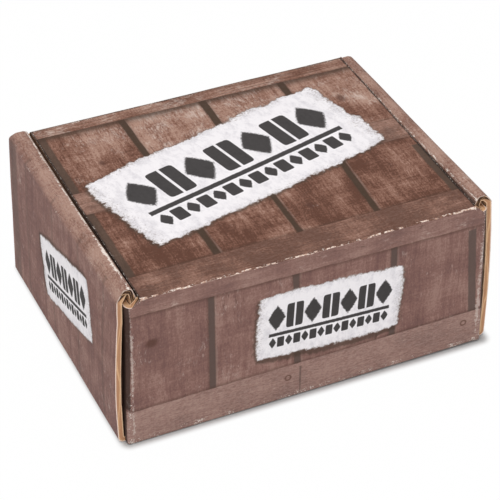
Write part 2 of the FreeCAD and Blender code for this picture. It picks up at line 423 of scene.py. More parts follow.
def paintStrips(art, onPanel, strips):
    # each strip: middle, size, tint, lean, softness, strength
    for middle, size, tint, lean, soft, strength in strips:
        paintBox(art, onPanel(*middle), size, crate[tint], lean, soft, strength)


gapPaint = {"strength": 0.95, "soft": 0.3, "shade": 1.5, "shadeSoft": 0.9, "shadeShare": 0.45,
            "lit": 0.7, "litSoft": 0.5, "litStrength": 0.22, "litRough": 1.8}


def paintGap(art, centre, size, turn, strength=gapPaint["strength"]):
    upright = size[0] < size[1]
    shade = gapPaint["shade"]
    shaded = (size[0] + shade, size[1]) if upright else (size[0], size[1] + shade)
    paintBox(art, centre, shaded, crate["gapEdge"], turn, gapPaint["shadeSoft"],
             strength * gapPaint["shadeShare"])
    if upright:
        # the next plank's edge catches the light
        edge = (centre[0] + size[0] / 2 + gapPaint["lit"], centre[1])
        rough = sums(art["tree"], "MULTIPLY", art["wander"], gapPaint["litRough"])
        paintBox(art, edge, (gapPaint["lit"], size[1]), crate["railLight"], turn, gapPaint["litSoft"],
                 gapPaint["litStrength"], rough)
    paintBox(art, centre, size, crate[art["gap"]], turn, gapPaint["soft"], strength)


def paintGaps(art, onPanel, row, middle, long):
    for x, width, lean in gaps[row]:
        paintGap(art, onPanel(x, middle), (width, long), lean)


railPaint = {"soft": 0.3, "shade": (2.0, 2.4), "shadeSoft": 1.2, "shadeStrength": 0.5,
             "rubbed": (0.9, 4, 0.8, (6, 9, 2), (0.45, 1.2, 1)), "rubbedFrom": (0.36, 0.66),
             "least": 0.4, "most": 1.7}


def paintRail(art, centre, size, turn=0.0, lift=0.0):
    # a board across the planks, with shade around it, and rubbed lighter in fine specks
    shaded = (size[0] + railPaint["shade"][0], size[1] + railPaint["shade"][1])
    paintBox(art, centre, shaded, crate["railShade"], turn, railPaint["shadeSoft"],
             railPaint["shadeStrength"])
    paintBox(art, centre, size, art["railWood"], turn, railPaint["soft"])
    if lift:
        tree = art["tree"]
        rubbed = step(tree, grain(tree, art["sheet"], *railPaint["rubbed"]), *railPaint["rubbedFrom"],
                      lift * railPaint["least"], lift * railPaint["most"])
        paintBox(art, centre, size, crate["railLight"], turn, railPaint["soft"], rubbed)


chipPaint = {"soft": 0.25, "strength": 0.9, "fine": (0.75, 5, 0.75, (8, 3, 2)), "fineReach": 7.0,
             "cloud": (0.1, 2, 0.5, (3, 3, 5)), "cloudReach": -3.0}


def paintChips(art, centre, size, amount, strength=chipPaint["strength"]):
    # places where the print has flaked off the paper, in a narrow strip
    tree, sheet = art["tree"], art["sheet"]
    flaked = nudge(tree, 0.0, grain(tree, sheet, *chipPaint["fine"]), chipPaint["fineReach"], amount)
    flaked = nudge(tree, flaked, grain(tree, sheet, *chipPaint["cloud"]), chipPaint["cloudReach"])
    paintBox(art, centre, size, crate["chip"], 0, chipPaint["soft"], strength, flaked)


def awayFromSpot(art, centre, stretch=1.0):
    tree = art["tree"]
    aside = sums(tree, "POWER", sums(tree, "SUBTRACT", art["place"][0], centre[0]), 2.0)
    up = sums(tree, "DIVIDE", sums(tree, "SUBTRACT", art["place"][1], centre[1]), stretch)
    return sums(tree, "SQRT", sums(tree, "MULTIPLY_ADD", up, up, aside))


knotPaint = {"rough": 1.2, "core": 0.3, "strength": 0.75, "stretch": 1.5}
nailPaint = {"radius": 1.5, "ringFrom": (0.2, 0.7, 0.8, 0.0)}


def paintKnot(art, centre, radius, stretch=knotPaint["stretch"]):
    tree = art["tree"]
    away = sums(tree, "MULTIPLY_ADD", art["wander"], knotPaint["rough"], awayFromSpot(art, centre, stretch))
    mask = step(tree, away, radius * knotPaint["core"], radius, knotPaint["strength"], 0.0)
    cover(art, crate["knot"], mask)


def paintNail(art, centre):
    tree = art["tree"]
    ring = sums(tree, "ABSOLUTE", sums(tree, "SUBTRACT", awayFromSpot(art, centre), nailPaint["radius"]))
    cover(art, crate["nail"], step(tree, ring, *nailPaint["ringFrom"]))


# printed paper fields: middle, size, turn in degrees, how ragged they are torn, and how far their shade falls
labels = {
    "lid": {"centre": onLid(2.5, -4.7), "size": (149.5, 65.7), "turn": 14.4, "ragged": 1.9, "shade": 0.9},
    "hingeWall": {"centre": onHingeWall(-10.5, 48.2), "size": (80.2, 41), "turn": -2.4, "ragged": 1.4,
                  "shade": 2.4},
    "end": {"centre": onEnd(1, 6.8, 48.5), "size": (70.2, 36.4), "turn": 105.0, "ragged": 0.9, "shade": 0.9},
}

# the rows are given as shares of the field's length and height
paper = {
    "white": colour(240, 236, 238), "grey": colour(176, 172, 180), "rim": colour(150, 138, 132),
    "ink": colour(20, 12, 8), "inkStrength": 0.95,
    "rows": [{"up": 0.12, "long": 0.86, "tall": 0.36, "shapes": 7, "share": 0.92, "slit": 0.035},
             {"up": -0.13, "long": 0.83, "tall": 0.05, "shapes": 0},
             {"up": -0.255, "long": 0.83, "tall": 0.15, "shapes": 15, "share": 0.86, "slit": 0.0}],
    "cornerPower": 7.0, "cornerRound": 1.5,
    "wide": (0.085, 2, 0.5, (4, 12, 6)), "wideReach": 3.4,
    "fine": (0.42, 6, 0.75, (7, 1, 4)), "fineReach": 3.6,
    "shadeAside": 0.5, "shadeGrown": 1.8, "shadeSoft": 1.3, "shadeStrength": 0.75,
    "rimSoft": 0.35, "rimWidth": 1.0, "whiteSoft": 0.5,
    "brushed": (1.0, 6, 0.75, (2, 2, 8), (0.2, 0.11, 1)), "brushedFrom": (0.30, 0.55, 0.6, 1.0),
    "edgeFrom": (0.74, 1.0, 0.0, -0.08),
    "frayed": (0.9, 4, 0.8, (3, 1, 7)), "frayedFrom": (0.50, 0.62, 0.0, 0.55),
    "fringeFrom": (0.80, 1.02, -0.14, 0.04),
    "worn": (1.0, 3, 0.7), "wornShare": 0.5, "shapeFrom": (0.92, 1.12, 1.0, 0.0),
    "lozengePower": 1.15, "blockPower": 10.15, "slitSoft": 0.25, "ruleSoft": 0.16, "endSoft": 0.1,
}


def printRow(art, local, size, row, worn):
    # one row of lozenges and blocks in turn, or a rule
    tree = art["tree"]
    long, tall = row["long"] * size[0], row["tall"] * size[1]
    if not row["shapes"]:
        mask, __ = patch(tree, local, (0.0, row["up"] * size[1]), (long, tall), 0, paper["ruleSoft"], worn)
        return mask
    up = sums(tree, "DIVIDE", sums(tree, "SUBTRACT", local[1], row["up"] * size[1]), tall / 2)
    pitch = long / row["shapes"]
    cell = sums(tree, "DIVIDE", sums(tree, "ADD", local[0], long / 2), pitch)
    isBlock = sums(tree, "GREATER_THAN", sums(tree, "FRACT", sums(tree, "MULTIPLY", cell, 0.5)), 0.5)
    more = paper["blockPower"] - paper["lozengePower"]
    power = sums(tree, "MULTIPLY_ADD", isBlock, more, paper["lozengePower"])
    across = sums(tree, "ABSOLUTE", sums(tree, "SUBTRACT", sums(tree, "FRACT", cell), 0.5))
    aside = sums(tree, "POWER", sums(tree, "DIVIDE", across, row["share"] / 2), power)
    reach = sums(tree, "ADD", aside, sums(tree, "POWER", sums(tree, "ABSOLUTE", up), power))
    mask = step(tree, sums(tree, "MULTIPLY_ADD", worn, paper["wornShare"], reach), *paper["shapeFrom"])
    inRow = step(tree, sums(tree, "ABSOLUTE", local[0]), long / 2 - paper["endSoft"],
                 long / 2 + paper["endSoft"], 1.0, 0.0)
    mask = sums(tree, "MULTIPLY", mask, inRow)
    if row["slit"]:
        slit = sums(tree, "ADD", across, sums(tree, "SUBTRACT", 1.0, isBlock))
        clearSlit = step(tree, slit, row["slit"], row["slit"] + paper["slitSoft"] / pitch)
        mask = sums(tree, "MULTIPLY", mask, clearSlit)
    return mask


def paintLabel(art, name):
    # torn paper field with plain stencilled shapes: a row of large ones, a rule and a row of small ones
    tree, label, sheet = art["tree"], labels[name], art["sheet"]
    centre, size, turn = label["centre"], label["size"], label["turn"]
    __, local = patch(tree, art["place"], centre, size, turn)
    share = [sums(tree, "DIVIDE", sums(tree, "ABSOLUTE", local[axis]), size[axis] / 2) for axis in (0, 1)]
    corner = sums(tree, "POWER", sums(tree, "MULTIPLY", share[0], share[1]), paper["cornerPower"])
    torn = nudge(tree, 0.0, grain(tree, sheet, *paper["wide"]), paper["wideReach"])
    torn = nudge(tree, torn, grain(tree, sheet, *paper["fine"]), paper["fineReach"])
    edge = sums(tree, "MULTIPLY", torn, label["ragged"])
    edge = sums(tree, "MULTIPLY_ADD", corner, label["ragged"] * paper["cornerRound"], edge)

    def grown(amount):
        return (size[0] + amount, size[1] + amount)

    shade = (centre[0] - paper["shadeAside"], centre[1] - label["shade"])
    paintBox(art, shade, grown(paper["shadeGrown"]), crate["shadow"], turn, paper["shadeSoft"],
             paper["shadeStrength"], edge)
    paintBox(art, centre, size, paper["rim"], turn, paper["rimSoft"], 1.0, edge)
    out = sums(tree, "MAXIMUM", share[0], share[1])
    brushed = grain(tree, joined(tree, local[0], local[1]), *paper["brushed"])
    brushed = sums(tree, "ADD", brushed, step(tree, out, *paper["edgeFrom"]))
    white = over(tree, paper["grey"], paper["white"], step(tree, brushed, *paper["brushedFrom"]))
    frayed = sums(tree, "ADD", step(tree, out, *paper["fringeFrom"]), grain(tree, sheet, *paper["frayed"]))
    white = over(tree, white, paper["rim"], step(tree, frayed, *paper["frayedFrom"]))
    paintBox(art, centre, grown(-paper["rimWidth"]), white, turn, paper["whiteSoft"], 1.0, edge)
    worn = nudge(tree, 0.0, grain(tree, sheet, *paper["worn"]), 1.0)
    for row in paper["rows"]:
        mask = printRow(art, local, size, row, worn)
        cover(art, paper["ink"], sums(tree, "MULTIPLY", mask, paper["inkStrength"]))


# the lid's print; x and y as on the box, in millimetres
lidArt = {
    "rows": [("lidFar", -38), ("lidNear", 36)], "planksLong": 76,
    "bands": [((-87.9, 41), (4.6, 46), "band", 0, 0.6, 0.9), ((87.8, -5), (4.8, 134), "band", 0, 0.6, 0.85)],
    "knots": [((-72, -37), 3.4), ((-15.4, 43.6), 2.6), ((66, -32), 2.2)],
    "batten": {"middle": (0, -0.9), "size": (190, 18.5), "turn": -1.3, "lift": 0.16},
    "farShade": [((0, -64.2), (190, 9.0), "gapEdge", -0.6, 2.8, 0.55),
                 ((0, -63.6), (190, 4.4), "lidGap", -0.6, 1.1, 0.45)],
    "farRail": {"middle": (0, -70.4), "size": (190, 12.4), "turn": -0.6, "lift": 0.0},
    "lines": (1.0, 3, 0.6, (2, 5, 7), (0.012, 1.1, 1)), "linesFrom": (0.46, 0.6, 0.0, 0.4),
    "linesSize": (190, 12.0), "linesSoft": 0.3,
    # painted shade where the fold at the far edge turns away from the light
    "farFold": [((0, lidLow.y / mm + board["foldRadius"] - 2.4), (190, 4.6), "lidGap", 0, 0.5, 0.5)],
    "nearRail": {"middle": (0, 71.0), "size": (190, 18.6), "turn": 0, "lift": 0.08},
    "slots": [((lidEdge - 0.3, 0), (0.7, 158), "slot", 0, 0.5, 0.9),
              ((0.3 - lidEdge, 0), (1.1, 158), "slot", 0, 0.5, 0.9)],
    "chips": {"middle": (lidEdge - 0.5, 0), "size": (1.0, 150), "amount": 0.27},
}


def paintRailAt(art, onPanel, rail):
    paintRail(art, onPanel(*rail["middle"]), rail["size"], rail["turn"], rail["lift"])


def paintLid(art):
    tree, farRail, chips = art["tree"], lidArt["farRail"], lidArt["chips"]
    for row, y in lidArt["rows"]:
        paintGaps(art, onLid, row, y, lidArt["planksLong"])
    paintStrips(art, onLid, lidArt["bands"])
    for middle, radius in lidArt["knots"]:
        paintKnot(art, onLid(*middle), radius)
    paintRailAt(art, onLid, lidArt["batten"])
    paintStrips(art, onLid, lidArt["farShade"])
    paintRailAt(art, onLid, farRail)
    lines = step(tree, grain(tree, art["sheet"], *lidArt["lines"]), *lidArt["linesFrom"])
    paintBox(art, onLid(*farRail["middle"]), lidArt["linesSize"], crate["gapEdge"], farRail["turn"],
             lidArt["linesSoft"], lines, 0.0)
    # painted shade on the far fold
    paintStrips(art, onLid, lidArt["farFold"])
    paintRailAt(art, onLid, lidArt["nearRail"])
    # painted shade in the slots along the lid's two sides
    paintStrips(art, onLid, lidArt["slots"])
    paintChips(art, onLid(*chips["middle"]), chips["size"], chips["amount"])
    paintLabel(art, "lid")


# the hinge wall's print; x and z as on the box
wallArt = {
    "planksUp": 48, "planksLong": 62,
    "band": [((-90.8, 48), (4.4, 56), "wallBand", 4.2, 0.4, 0.9)],
    "knot": ((85, 61), 5.0, 0.8),
    "topRail": {"middle": (0, 84.4), "size": (196, 11.0), "turn": -0.6, "lift": 0.06},
    "bottomRail": {"middle": (0, 10.3), "size": (212, 22.2), "turn": 0.5, "lift": 0.26},
    "butt": [((5.3, 9.8), (0.7, 18), "wallGap", 0, 0.3, 0.7)],
    "nails": [(12.1, 13.4), (-88.1, 15.7)],
    "chips": {"aside": 95.9, "up": 48, "size": (2.2, 86), "amount": 0.4, "strength": 0.3},
    # painted shade on the upright folds at both ends, where they turn away from the light
    "folds": [((99.8, 58), (6.4, 72), "fold", -1.5, 0.5, 0.9),
              ((102.2, 30), (4.4, 80), "fold", 0, 0.5, 0.9),
              ((-99.8, 58), (6.4, 72), "fold", 1.5, 0.5, 0.9),
              ((-102.2, 30), (4.4, 80), "fold", 0, 0.5, 0.9)],
}


def paintHingeWall(art):
    chips = wallArt["chips"]
    paintGaps(art, onHingeWall, "wall", wallArt["planksUp"], wallArt["planksLong"])
    paintStrips(art, onHingeWall, wallArt["band"])
    knotAt, radius, stretch = wallArt["knot"]
    paintKnot(art, onHingeWall(*knotAt), radius, stretch)
    paintRailAt(art, onHingeWall, wallArt["topRail"])
    paintRailAt(art, onHingeWall, wallArt["bottomRail"])
    paintStrips(art, onHingeWall, wallArt["butt"])
    for nail in wallArt["nails"]:
        paintNail(art, onHingeWall(*nail))
    for side in (1, -1):
        paintChips(art, onHingeWall(side * chips["aside"], chips["up"]), chips["size"], chips["amount"],
                   chips["strength"])
    paintLabel(art, "hingeWall")


# the ends' print: y and z as on the box, and along the lip of the roll by side
endArt = {
    "rubbed": (0.9, 4, 0.8, (6, 9, 2), (1.1, 0.6, 1)), "rubbedFrom": (0.42, 0.64, 0.0, 0.4),
    "planksUp": 46, "planksLong": 92, "gapStrength": 0.3,
    "bandAt": (-69, 44), "bandSize": (90, 9), "bandSoft": 1.5, "bandStrength": 0.55,
    "lips": {1: {"past": -0.9, "size": (2.2, 156), "amount": 0.395, "slot": 0.85},
             -1: {"past": 0.9, "size": (1.4, 156), "amount": 0.38, "slot": 0.65}},
    "slotPast": 5, "slotSize": (6.0, 170), "slotSoft": 0.4,
}


def paintEnds(art):
    # the rolled top is one long board, rubbed in fine specks
    tree = art["tree"]
    cover(art, art["railWood"], art["onRoll"])
    rubbed = step(tree, grain(tree, art["sheet"], *endArt["rubbed"]), *endArt["rubbedFrom"])
    cover(art, crate["railLight"], sums(tree, "MULTIPLY", art["onRoll"], rubbed))
    for side, lip in endArt["lips"].items():
        for y, width, lean in gaps["end"]:
            paintGap(art, onEnd(side, y * side, endArt["planksUp"]), (endArt["planksLong"], width), lean,
                     endArt["gapStrength"])
        y, z = endArt["bandAt"]
        paintBox(art, onEnd(side, y * side, z), endArt["bandSize"], crate["wallBand"], 0,
                 endArt["bandSoft"], endArt["bandStrength"])
        paintChips(art, (-side * (rollLip + lip["past"]), 0), lip["size"], lip["amount"])
        # painted shade in the slot inside the roll's lip
        paintBox(art, (-side * (rollLip + endArt["slotPast"]), 0), endArt["slotSize"], crate["slot"], 0,
                 endArt["slotSoft"], lip["slot"])
    paintLabel(art, "end")


# the front wall's print, and the planks that go on under the floor panel
frontArt = {
    "planksUp": 48, "planksLong": 62, "floorLong": 150,
    "topRail": {"middle": (0, 83), "size": (212, 12), "turn": 0.0, "lift": 0.0},
    "bottomRail": {"middle": (0, 9.5), "size": (212, 20.5), "turn": 0.4, "lift": 0.0},
}


def paintFront(art):
    for x, width, lean in gaps["wall"]:
        paintGap(art, onFrontWall(-x, frontArt["planksUp"]), (width, frontArt["planksLong"]), lean)
        paintGap(art, (x, 0), (width, frontArt["floorLong"]), lean)
    paintRailAt(art, onFrontWall, frontArt["topRail"])
    paintRailAt(art, onFrontWall, frontArt["bottomRail"])


wearPaint = {
    "speck": (1.1, 5, 0.75, (6, 3, 1)), "spread": (0.12, 3, 0.6, (1, 6, 4)), "spreadMiddle": 0.53,
    "spreadReach": -3.0, "foldMiddle": 0.54, "foldReach": -4.5, "rollSpared": 0.7,
    "crackedFrom": (-0.5, 0.0, 0.85, 0.0), "edgeMiddle": 0.55, "edgeReach": -4.0,
    "rubbedFrom": (-0.15, 0.15, 0.85, 0.0),
}


def wearPrint(art, wear):
    # print cracked to the white coating along folds, and rubbed off along cut edges
    tree, sheet = art["tree"], art["sheet"]
    speck = grain(tree, sheet, *wearPaint["speck"])
    spread = grain(tree, sheet, *wearPaint["spread"])
    foldAway = nudge(tree, wear[0], spread, wearPaint["spreadReach"], wearPaint["spreadMiddle"])
    foldAway = nudge(tree, foldAway, speck, wearPaint["foldReach"], wearPaint["foldMiddle"])
    foldAway = sums(tree, "MULTIPLY_ADD", art["onRoll"], wearPaint["rollSpared"], foldAway)
    edgeAway = nudge(tree, wear[1], speck, wearPaint["edgeReach"], wearPaint["edgeMiddle"])
    bare = sums(tree, "MAXIMUM", step(tree, foldAway, *wearPaint["crackedFrom"]),
                step(tree, edgeAway, *wearPaint["rubbedFrom"]))
    cover(art, crate["chip"], bare)
    return bare


# how each print is toned: the lid's first value is at the hinge and the second at its far edge;
# planks: how much the tone steps up past each gap
# mauve: a cooler tint on the upright faces and not on the lid, partly print and partly painted light
looks = {
    "frontPrint": {"tone": (0.02, 0.02), "bleach": (-0.04, -0.04), "mauve": 0.7, "gap": "wallGap",
                   "gaps": gaps["wall"], "planks": (0.0, 0.0, 0.0)},
    "hingeWallPrint": {"tone": (0.02, 0.02), "bleach": (-0.08, -0.08), "mauve": 1.0, "gap": "wallGap",
                       "gaps": gaps["wall"], "planks": (0.0, 0.0, 0.0)},
    "endPrint": {"tone": (0.02, 0.02), "bleach": (-0.06, -0.06), "mauve": 1.0, "gap": "wallGap",
                 "gaps": gaps["end"], "planks": (0.02, -0.02, 0.02, -0.02)},
    "lidPrint": {"tone": (-0.11, 0.05), "bleach": (-0.23, 0.01), "mauve": 0.0, "gap": "lidGap",
                 "gaps": gaps["lidNear"], "planks": (0.10, -0.04, -0.02)},
}

# what all prints share; rollFrom is in millimetres from the lip of the roll and lidFrom from lidZero
printFinish = {
    "plankShift": (47.3, 3.7), "rollFrom": (-14, -6), "rollTone": 0.10, "rollMauve": -0.75,
    "lidFrom": (-50, 60),
    "wander": (0.09, 4, 0.6), "wanderReach": 1.4, "specular": 0.19,
    "gloss": (0.5, 3, 0.6), "glossFrom": (0.3, 0.7, 0.66, 0.8),
    "tooth": (2.2, 3), "toothHeight": 0.05, "fluteHeight": 0.02, "bareHeight": -0.12, "bump": 0.6,
}


def fluteWave(tree, along):
    return sums(tree, "SINE", sums(tree, "MULTIPLY", along, 2 * math.pi / board["flutePitch"]))


def addBump(tree, shader, height, strength, distance=mm):
    bump = put(tree, "ShaderNodeBump", {"Height": height, "Distance": distance, "Strength": strength})
    tree.links.new(bump.outputs[0], shader["Normal"])


def makePrint(name, paintArt, sideways=False):
    # sideways: planks stand along the sheet's first coordinate, as they do on the two ends
    look, finish = looks[name], printFinish
    material, tree, shader = newMaterial(name)
    sheet = fromMap(tree, "sheet")
    across, along = parted(tree, sheet)[:2]
    wear = parted(tree, fromMap(tree, "wear"))
    turned = joined(tree, along, across)
    upright, lying = (turned, sheet) if sideways else (sheet, turned)
    plank, plankTone = 1.0, 0.0
    for (middle, __, __), change in zip(look["gaps"], look["planks"]):
        past = sums(tree, "GREATER_THAN", along if sideways else across, -middle)
        plank = sums(tree, "ADD", past, plank)
        plankTone = sums(tree, "MULTIPLY_ADD", past, change, plankTone)
    shiftY, shiftZ = finish["plankShift"]
    shift = joined(tree, 0.0, sums(tree, "MULTIPLY", plank, shiftY), sums(tree, "MULTIPLY", plank, shiftZ))
    # the rolled tops of the ends are lighter and less mauve, partly print and partly painted light on faces
    # that look up
    onRoll = step(tree, sums(tree, "ABSOLUTE", across), *(rollLip + past for past in finish["rollFrom"]))
    lidFrom = [lidZero + past for past in finish["lidFrom"]]
    bleach = step(tree, along, *lidFrom, *look["bleach"])
    tone = sums(tree, "MULTIPLY_ADD", onRoll, finish["rollTone"], step(tree, along, *lidFrom, *look["tone"]))
    mauve = sums(tree, "MULTIPLY_ADD", onRoll, finish["rollMauve"] * look["mauve"], look["mauve"])
    plankWood = {"Vector": vectors(tree, "ADD", upright, shift)[0], "Mauve": mauve,
                 "Tone": sums(tree, "ADD", tone, plankTone), "Bleach": sums(tree, "ADD", bleach, plankTone)}
    railWood = {"Vector": lying, "Tone": tone, "Bleach": bleach, "Mauve": mauve}
    planks, rails = (put(tree, "ShaderNodeGroup", values, node_tree=woodGroup).outputs[0]
                     for values in (plankWood, railWood))
    wander = nudge(tree, 0.0, grain(tree, sheet, *finish["wander"]), finish["wanderReach"])
    art = {"tree": tree, "sheet": sheet, "place": (across, along), "wander": wander, "gap": look["gap"],
           "onRoll": onRoll, "paint": planks, "railWood": rails}
    paintArt(art)
    bare = wearPrint(art, wear)
    if paintArt is paintHingeWall:
        # painted shade over the hinge wall's upright folds, laid over the wear
        paintStrips(art, onHingeWall, wallArt["folds"])
    tree.links.new(art["paint"], shader["Base Color"])

    shader["Specular IOR Level"].default_value = finish["specular"]
    gloss = step(tree, grain(tree, sheet, *finish["gloss"]), *finish["glossFrom"])
    tree.links.new(gloss, shader["Roughness"])
    height = sums(tree, "MULTIPLY", fluteWave(tree, along), finish["fluteHeight"])
    height = sums(tree, "MULTIPLY_ADD", grain(tree, sheet, *finish["tooth"]), finish["toothHeight"], height)
    height = sums(tree, "MULTIPLY_ADD", bare, finish["bareHeight"], height)
    addBump(tree, shader, height, finish["bump"])
    return material


kraft = {
    "light": colour(188, 150, 116), "dark": colour(168, 129, 96), "fibre": colour(206, 176, 146),
    "cloud": (0.05, 5, 0.6), "cloudFrom": (0.3, 0.65),
    "hair": (1.0, 4, 0.7, (0, 0, 0), (0.5, 2.2, 1)), "hairFrom": (0.56, 0.72), "hairShare": 0.5,
    "fluteFrom": (0.2, 1.0, 0.0, 0.22), "glossFrom": (0.3, 0.7, 0.8, 0.92),
    "specular": 0.2, "fluteHeight": 0.06, "hairHeight": 0.08, "bump": 0.7,
}


def makeKraft():
    material, tree, shader = newMaterial("kraftLiner")
    sheet = fromMap(tree, "sheet")
    hair = grain(tree, sheet, *kraft["hair"])
    flutes = fluteWave(tree, parted(tree, sheet)[1])
    cloud = step(tree, grain(tree, sheet, *kraft["cloud"]), *kraft["cloudFrom"])
    shade = over(tree, kraft["dark"], kraft["light"], cloud)
    fibre = sums(tree, "MULTIPLY", step(tree, hair, *kraft["hairFrom"]), kraft["hairShare"])
    shade = over(tree, shade, kraft["fibre"], fibre)
    shade = over(tree, shade, kraft["dark"], step(tree, flutes, *kraft["fluteFrom"]))
    tree.links.new(shade, shader["Base Color"])
    tree.links.new(step(tree, hair, *kraft["glossFrom"]), shader["Roughness"])
    shader["Specular IOR Level"].default_value = kraft["specular"]
    height = sums(tree, "MULTIPLY", hair, kraft["hairHeight"])
    height = sums(tree, "MULTIPLY_ADD", flutes, kraft["fluteHeight"], height)
    addBump(tree, shader, height, kraft["bump"])
    return material


# depths go from 0 at the printed side to 1 at the plain side
cutEdge = {
    "printed": colour(236, 212, 198), "liner": colour(222, 186, 152), "medium": colour(212, 170, 130),
    "crushed": colour(190, 142, 108), "hollowShade": colour(62, 40, 28), "edgeShade": colour(74, 52, 42),
    "roofPast": -12, "rolledFrom": (0.0, 2.0), "rolledDrift": 0.9, "drift": 0.13,
    "openFrom": (0.3, 0.8, 0.08, 1.0), "wander": (0.12, 4, 0.6), "wanderReach": 0.45, "waveReach": 0.34,
    "rolledThin": 0.05, "mediumFrom": (0.08, 0.16, 1.0, 0.0), "edgeShadeFrom": (0.3, 0.8, 0.0, 0.9),
    "skinFrom": (0.13, 0.19, 1.0, 0.0), "linerFrom": (0.81, 0.87),
    "lidPast": 3, "sideFrom": (-3, -1), "sideShade": 0.7, "rolledShade": 0.22,
    "torn": (0.55, 3, 0.6, (4, 4, 9)), "tornFrom": (0.52, 0.6, 0.0, 0.95),
    "speck": (1.6, 4, 0.7), "speckFrom": (0.52, 0.7, 0.0, 0.35),
    "rough": 0.9, "specular": 0.15, "bumpHeight": 0.15, "bump": 0.7,
}


def makeCutEdge():
    # through the board: printed liner, wavy middle layer with hollows beside it, plain liner;
    # the hollows are open where the cut crosses the flutes and filled with painted shade there, and crushed
    # where it runs along them
    material, tree, shader = newMaterial("cutEdge")
    sheet = fromMap(tree, "sheet")
    depth, crossing = parted(tree, fromMap(tree, "wear"))[:2]
    across, along = parted(tree, sheet)[:2]
    aside = sums(tree, "ABSOLUTE", across)
    pastRoof = sums(tree, "MAXIMUM", sums(tree, "SUBTRACT", aside, rollLip + cutEdge["roofPast"]), 0.0)
    rolled = step(tree, pastRoof, *cutEdge["rolledFrom"])
    isOpen = sums(tree, "MAXIMUM", step(tree, crossing, *cutEdge["openFrom"]), rolled)
    ripple = sums(tree, "MULTIPLY_ADD", across, cutEdge["drift"], along)
    ripple = sums(tree, "MULTIPLY_ADD", pastRoof, cutEdge["rolledDrift"], ripple)
    level = nudge(tree, 0.5, grain(tree, sheet, *cutEdge["wander"]), cutEdge["wanderReach"])
    level = sums(tree, "MULTIPLY_ADD", fluteWave(tree, ripple), cutEdge["waveReach"], level)
    away = sums(tree, "ABSOLUTE", sums(tree, "SUBTRACT", depth, level))
    away = sums(tree, "MULTIPLY_ADD", rolled, cutEdge["rolledThin"], away)
    # open hollows get painted shade, crushed ones the kraft colour
    hollow = over(tree, cutEdge["crushed"], cutEdge["hollowShade"], isOpen)
    shade = over(tree, hollow, cutEdge["medium"], step(tree, away, *cutEdge["mediumFrom"]))
    # painted shade on the printed liner's skin where the cut crosses the flutes, as beside the lid in its
    # slots
    skin = over(tree, cutEdge["printed"], cutEdge["edgeShade"], step(tree, crossing, *cutEdge["edgeShadeFrom"]))
    shade = over(tree, shade, skin, step(tree, depth, *cutEdge["skinFrom"]))
    shade = over(tree, shade, cutEdge["liner"], step(tree, depth, *cutEdge["linerFrom"]))
    # painted shade darkens the lid's two sides, where they sit in the slots, and the rolled ends
    lidSide = sums(tree, "MULTIPLY", step(tree, along, creaseAt, creaseAt + cutEdge["lidPast"]),
                   step(tree, aside, *(lidEdge + past for past in cutEdge["sideFrom"])))
    paintedShade = sums(tree, "MAXIMUM", sums(tree, "MULTIPLY", lidSide, cutEdge["sideShade"]),
                   sums(tree, "MULTIPLY", rolled, cutEdge["rolledShade"]))
    shade = over(tree, shade, crate["fold"], paintedShade)
    # torn bits where the board is rolled over, their hollows dark with painted shade
    torn = step(tree, grain(tree, sheet, *cutEdge["torn"]), *cutEdge["tornFrom"])
    shade = over(tree, shade, cutEdge["hollowShade"], sums(tree, "MULTIPLY", torn, rolled))
    speck = grain(tree, sheet, *cutEdge["speck"])
    shade = over(tree, shade, kraft["dark"], step(tree, speck, *cutEdge["speckFrom"]))
    tree.links.new(shade, shader["Base Color"])
    shader["Roughness"].default_value = cutEdge["rough"]
    shader["Specular IOR Level"].default_value = cutEdge["specular"]
    addBump(tree, shader, speck, cutEdge["bump"], cutEdge["bumpHeight"] * mm)
    return material


barePaper = {"white": colour(236, 218, 206), "brown": colour(178, 140, 120), "torn": (0.9, 4, 0.7, (1, 5, 2)),
             "tornFrom": (0.4, 0.58), "rough": 0.85, "specular": 0.2}


def makeBarePaper():
    # the white coating of the board where the print has cracked away
    material, tree, shader = newMaterial("barePaper")
    torn = step(tree, grain(tree, fromMap(tree, "sheet"), *barePaper["torn"]), *barePaper["tornFrom"])
    tree.links.new(over(tree, barePaper["brown"], barePaper["white"], torn), shader["Base Color"])
    shader["Roughness"].default_value = barePaper["rough"]
    shader["Specular IOR Level"].default_value = barePaper["specular"]
    return material


finishes = [makePrint("frontPrint", paintFront), makeKraft(), makeCutEdge(),
            makePrint("hingeWallPrint", paintHingeWall), makePrint("endPrint", paintEnds, True),
            makePrint("lidPrint", paintLid), makeBarePaper()]
printed, plain, cut, hingeWallPrint, endPrint, lidPrint, bare = range(7)
print("materials made:", ", ".join(material.name for material in finishes))


# the folded sheet
def spreadFlat(bm, start, rightward, corner, side):
    # Lays one side of the sheet flat, face by face across every soft fold, starting from one face.
    # The flat places go to the loops, in millimetres, and the faces get this side's finish.
    sheetMap, limit = bm.loops.layers.uv["sheet"], math.cos(math.radians(board["softFold"]))
    upward = start.normal.cross(rightward)
    places = {start: {v: Vector((v.co.dot(rightward) / mm + corner[0], v.co.dot(upward) / mm + corner[1]))
                      for v in start.verts}}
    folds, waiting = [], [start]
    while waiting:
        face = waiting.pop(0)
        face.material_index = side
        for loop in face.loops:
            loop[sheetMap].uv = places[face][loop.vert]
        for edge in face.edges:
            for other in edge.link_faces:
                if other is face or face.normal.dot(other.normal) < limit:
                    continue
                a, b = edge.verts
                flatA, flatB = places[face][a], places[face][b]
                if face.normal.dot(other.normal) < board["flatDot"]:
                    folds.append((flatA, flatB))
                if other in places:
                    continue
                run = (b.co - a.co).normalized()
                aside = other.normal.cross(run)
                flatRun = (flatB - flatA).normalized()
                flatAside = Vector((-flatRun.y, flatRun.x))
                places[other] = {v: flatA + flatRun * ((v.co - a.co).dot(run) / mm)
                                 + flatAside * ((v.co - a.co).dot(aside) / mm) for v in other.verts}
                waiting.append(other)
    return folds, places


